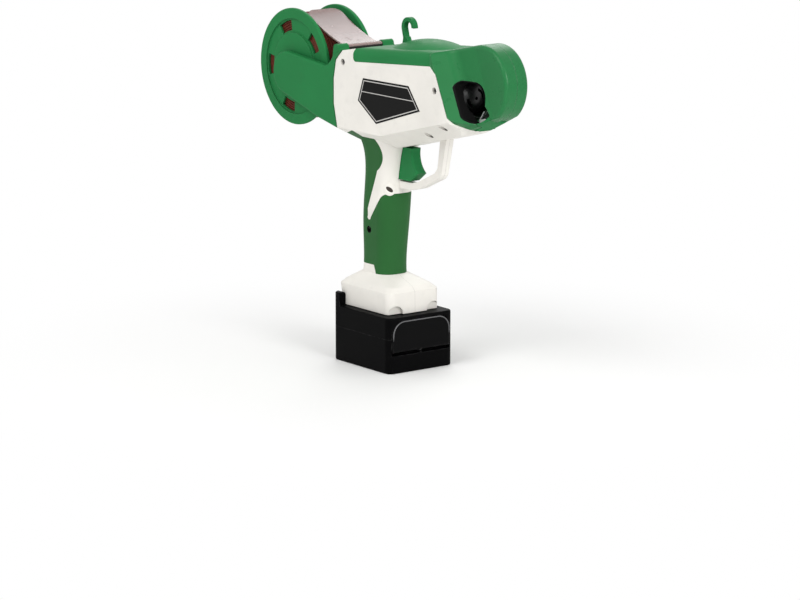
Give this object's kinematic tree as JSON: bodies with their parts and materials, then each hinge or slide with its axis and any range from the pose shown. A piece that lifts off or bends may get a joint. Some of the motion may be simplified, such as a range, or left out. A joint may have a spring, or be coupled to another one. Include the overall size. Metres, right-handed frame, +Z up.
{
  "type": "electric vine tying tool",
  "caption": "Pistol-shaped cordless tool that ties vine shoots with wire: nose with a sideways mouth and twister, trigger grip, wire reel behind under a clear guard, slide battery base.",
  "frame": {"origin": "centre of the battery's bottom face, on which the tool stands", "axes": "+X forward to the nose, +Y to the tool's left, +Z up"},
  "size_m": [0.3635, 0.076, 0.3321],
  "materials": {
    "white_plastic": "fine moulded texture",
    "green_plastic": "satin moulded",
    "green_grip": "soft matt",
    "black_plastic": "fine moulded texture",
    "clear_plastic": "clear, faintly pink",
    "coated_wire": "satin coating on thin wire",
    "bright_steel": "bright",
    "dark_steel": "blackened",
    "motor_steel": "plated",
    "cast_metal": "cast",
    "bush_brass": "turned",
    "board": "lacquered",
    "cell_can": "wrapped"
  },
  "bodies": {
    "body": {"control_board": "board", "curl_guide": "bright_steel", "feed_bracket": "cast_metal", "feed_motor": "motor_steel", "feed_tube": "bright_steel", "gate_pin": "bright_steel", "grip_sleeve": "green_grip", "guard_pin": "dark_steel", "hanging_hook": "green_plastic", "housing_screws": "dark_steel", "mouth_liner": "black_plastic", "nose_left": "green_plastic", "nose_right": "green_plastic", "nose_screws": "dark_steel", "reel_arm_left": "green_plastic", "reel_arm_right": "green_plastic", "reel_axle": "bright_steel", "shaft_bush": "bush_brass", "shell_left": "white_plastic", "shell_right": "white_plastic", "terminal_block": "black_plastic", "top_cover": "green_plastic", "trigger_spring": "bright_steel", "trigger_switch": "black_plastic", "twist_gearbox": "cast_metal", "twist_motor": "motor_steel", "twister_bearing": "bright_steel", "wire_inlet": "black_plastic"},
    "reel": {"reel_flange_right": "green_plastic", "reel_flange_left": "green_plastic", "reel_hub": "green_plastic", "wire_core": "coated_wire", "wire_winding": "coated_wire"},
    "twister": {"twister_head": "dark_steel", "twister_shaft": "bright_steel", "twister_gear": "dark_steel"},
    "pinion": {"drive_pinion": "dark_steel"},
    "feed_lower": {"feed_roller_lower": "bright_steel"},
    "feed_upper": {"feed_roller_upper": "bright_steel"},
    "trigger_piece": {"trigger": "green_plastic"},
    "gate": {"mouth_gate": "green_plastic", "gate_guide": "bright_steel"},
    "guard": {"reel_guard": "clear_plastic"},
    "battery": {"battery_case": "black_plastic", "battery_cover": "black_plastic", "battery_cells": "cell_can", "release_spring": "bright_steel"},
    "release": {"release_lever": "black_plastic"}
  },
  "joints": [
    {"name": "reel_spin", "type": "hinge", "parent": "body", "child": "reel", "pos_m": [-0.1215, 0, 0.272], "axis": [0, 1, 0], "continuous": true},
    {"name": "twister_spin", "type": "hinge", "parent": "body", "child": "twister", "pos_m": [0.12, 0, 0.268], "axis": [1, 0, 0], "continuous": true},
    {"name": "pinion_spin", "type": "hinge", "parent": "body", "child": "pinion", "pos_m": [0.083, 0, 0.252], "axis": [1, 0, 0], "continuous": true},
    {"name": "feed_lower_spin", "type": "hinge", "parent": "body", "child": "feed_lower", "pos_m": [-0.012, 0, 0.264], "axis": [0, 1, 0], "continuous": true},
    {"name": "feed_upper_spin", "type": "hinge", "parent": "body", "child": "feed_upper", "pos_m": [-0.012, 0, 0.276], "axis": [0, 1, 0], "continuous": true},
    {"name": "trigger_pull", "type": "slide", "parent": "body", "child": "trigger_piece", "axis": [-1, 0, 0], "range_m": [0, 0.006], "stiffness_N_per_m": 400, "springref_m": -0.004, "deforming": ["trigger_spring"]},
    {"name": "gate_swing", "type": "hinge", "parent": "body", "child": "gate", "pos_m": [0.1385, 0, 0.245], "axis": [0, -1, 0], "range_deg": [0, 55], "stiffness_Nm_per_rad": 0.05, "springref_deg": -17.19},
    {"name": "guard_lift", "type": "hinge", "parent": "body", "child": "guard", "pos_m": [-0.0455, 0, 0.298], "axis": [0, 1, 0], "range_deg": [0, 100]},
    {"name": "battery_slide", "type": "slide", "parent": "body", "child": "battery", "axis": [-1, 0, 0], "range_m": [0, 0.1]},
    {"name": "release_press", "type": "slide", "parent": "battery", "child": "release", "axis": [0, 0, -1], "range_m": [0, 0.0025], "stiffness_N_per_m": 800, "springref_m": -0.003, "deforming": ["release_spring"]}
  ],
  "couplings": [
    {"joint": "pinion_spin", "follows": "twister_spin", "ratio": -1.6667},
    {"joint": "feed_upper_spin", "follows": "feed_lower_spin", "ratio": -1}
  ]
}
